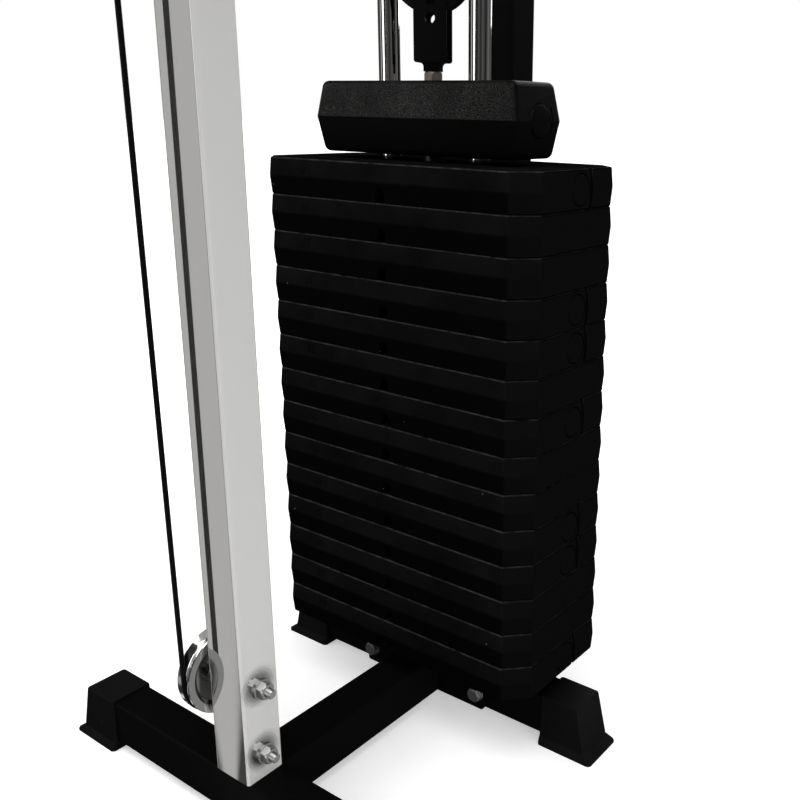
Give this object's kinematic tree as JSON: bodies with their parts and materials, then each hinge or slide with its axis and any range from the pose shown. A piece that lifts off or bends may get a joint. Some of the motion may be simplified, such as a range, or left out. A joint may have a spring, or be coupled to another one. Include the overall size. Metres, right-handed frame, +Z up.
{
  "type": "cable pulley weight stack machine",
  "caption": "Upright cable machine: boxed tube base, silver column with a sliding pulley carriage, and a plate weight stack on two guide rods, lifted by a floating pulley.",
  "frame": {"origin": "on the floor, under the middle of the machine's outline", "axes": "+Z up, +Y from the user towards the weight stack, +X to the user's right"},
  "size_m": [0.556, 0.6384, 2.07],
  "materials": {
    "frame_black": "satin black powder coat",
    "upright_silver": "polished silver grey",
    "pulley_metal": "polished",
    "pulley_black": "black",
    "rod_chrome": "chrome plated",
    "zinc": "zinc plated",
    "stem_steel": "dark steel",
    "rubber_black": "black moulded rubber",
    "plate_black": "black moulded shell, fine grain",
    "head_black": "black pebbled shell",
    "plastic_black": "black plastic",
    "cable_black": "black coated steel cable"
  },
  "bodies": {
    "frame": {"front_cross_tube": "frame_black", "long_tube": "frame_black", "rear_flange_plate": "frame_black", "base_bolts": "zinc", "rear_cross_tube": "frame_black", "rear_base_tube": "frame_black", "tube_caps": "plastic_black", "front_boots": "rubber_black", "rear_feet": "rubber_black", "front_upright": "upright_silver", "upright_spigot": "frame_black", "low_pulley_axle": "zinc", "rear_upright": "frame_black", "top_beam": "frame_black", "rod_top_mount": "frame_black", "guide_rods": "rod_chrome", "rod_collars": "zinc", "stack_bumpers": "rubber_black", "plate_01": "plate_black", "plate_02": "plate_black", "plate_03": "plate_black", "plate_04": "plate_black", "plate_05": "plate_black", "plate_06": "plate_black", "plate_07": "plate_black", "plate_08": "plate_black", "plate_09": "plate_black", "plate_10": "plate_black", "plate_11": "plate_black", "plate_12": "plate_black", "plate_13": "plate_black", "plate_14": "plate_black", "top_pulley_bolts": "zinc", "cable_left_run": "cable_black", "cable_right_run": "cable_black", "cable_front_lower": "cable_black", "cable_front_upper": "cable_black", "cable_stack_legs": "cable_black"},
    "lift": {"head_block": "head_black", "head_bushings": "plastic_black", "selector_stem": "stem_steel", "stem_nut": "zinc", "floating_bracket": "frame_black", "floating_axle": "zinc", "cable_floating_wrap": "cable_black"},
    "floating_wheel": {"floating_pulley": "pulley_black"},
    "low_wheel": {"low_pulley": "pulley_metal"},
    "top_wheel_front_left": {"top_pulley_front_left": "pulley_metal"},
    "top_wheel_rear_left": {"top_pulley_rear_left": "pulley_metal"},
    "top_wheel_front_right": {"top_pulley_front_right": "pulley_metal"},
    "top_wheel_rear_right": {"top_pulley_rear_right": "pulley_metal"},
    "carriage": {"carriage_frame": "frame_black", "carriage_axle": "zinc", "cable_stop": "plastic_black", "snap_hook": "zinc", "cable_carriage_wrap": "cable_black"},
    "carriage_wheel": {"carriage_pulley": "pulley_metal"},
    "locking_pin": {"carriage_pin": "plastic_black"}
  },
  "joints": [
    {"name": "stack_lift", "type": "slide", "parent": "frame", "child": "lift", "axis": [0, 0, 1], "range_m": [0, 1.06], "deforming": ["cable_stack_legs"]},
    {"name": "floating_spin", "type": "hinge", "parent": "lift", "child": "floating_wheel", "pos_m": [0, 0.16025, 0.856], "axis": [0.4226, -0.9063, 0], "continuous": true},
    {"name": "low_spin", "type": "hinge", "parent": "frame", "child": "low_wheel", "pos_m": [-0.03852, -0.13875, 0.161], "axis": [1, 0, 0], "continuous": true},
    {"name": "top_front_left_spin", "type": "hinge", "parent": "frame", "child": "top_wheel_front_left", "pos_m": [-0.03852, -0.05375, 2.025], "axis": [1, 0, 0], "continuous": true},
    {"name": "top_rear_left_spin", "type": "hinge", "parent": "frame", "child": "top_wheel_rear_left", "pos_m": [-0.03852, 0.09979, 2.025], "axis": [1, 0, 0], "continuous": true},
    {"name": "top_front_right_spin", "type": "hinge", "parent": "frame", "child": "top_wheel_front_right", "pos_m": [0.03852, -0.13875, 2.025], "axis": [1, 0, 0], "continuous": true},
    {"name": "top_rear_right_spin", "type": "hinge", "parent": "frame", "child": "top_wheel_rear_right", "pos_m": [0.03852, 0.13571, 2.025], "axis": [1, 0, 0], "continuous": true},
    {"name": "carriage_slide", "type": "slide", "parent": "frame", "child": "carriage", "axis": [0, 0, 1], "range_m": [-1, 0.55], "deforming": ["cable_front_lower", "cable_front_upper"]},
    {"name": "carriage_spin", "type": "hinge", "parent": "carriage", "child": "carriage_wheel", "pos_m": [0.03852, -0.22375, 1.33], "axis": [1, 0, 0], "continuous": true},
    {"name": "pin_push", "type": "slide", "parent": "carriage", "child": "locking_pin", "axis": [1, 0, 0], "range_m": [0, 0.008]}
  ],
  "couplings": [
    {"joint": "floating_spin", "follows": "stack_lift", "rad_per_m": 23.529},
    {"joint": "top_front_right_spin", "follows": "stack_lift", "rad_per_m": 47.059},
    {"joint": "top_rear_right_spin", "follows": "stack_lift", "rad_per_m": 47.059},
    {"joint": "carriage_spin", "follows": "stack_lift", "rad_per_m": -47.059},
    {"joint": "low_spin", "follows": "carriage_slide", "rad_per_m": -23.529},
    {"joint": "top_front_left_spin", "follows": "carriage_slide", "rad_per_m": 23.529},
    {"joint": "top_rear_left_spin", "follows": "carriage_slide", "rad_per_m": 23.529}
  ]
}
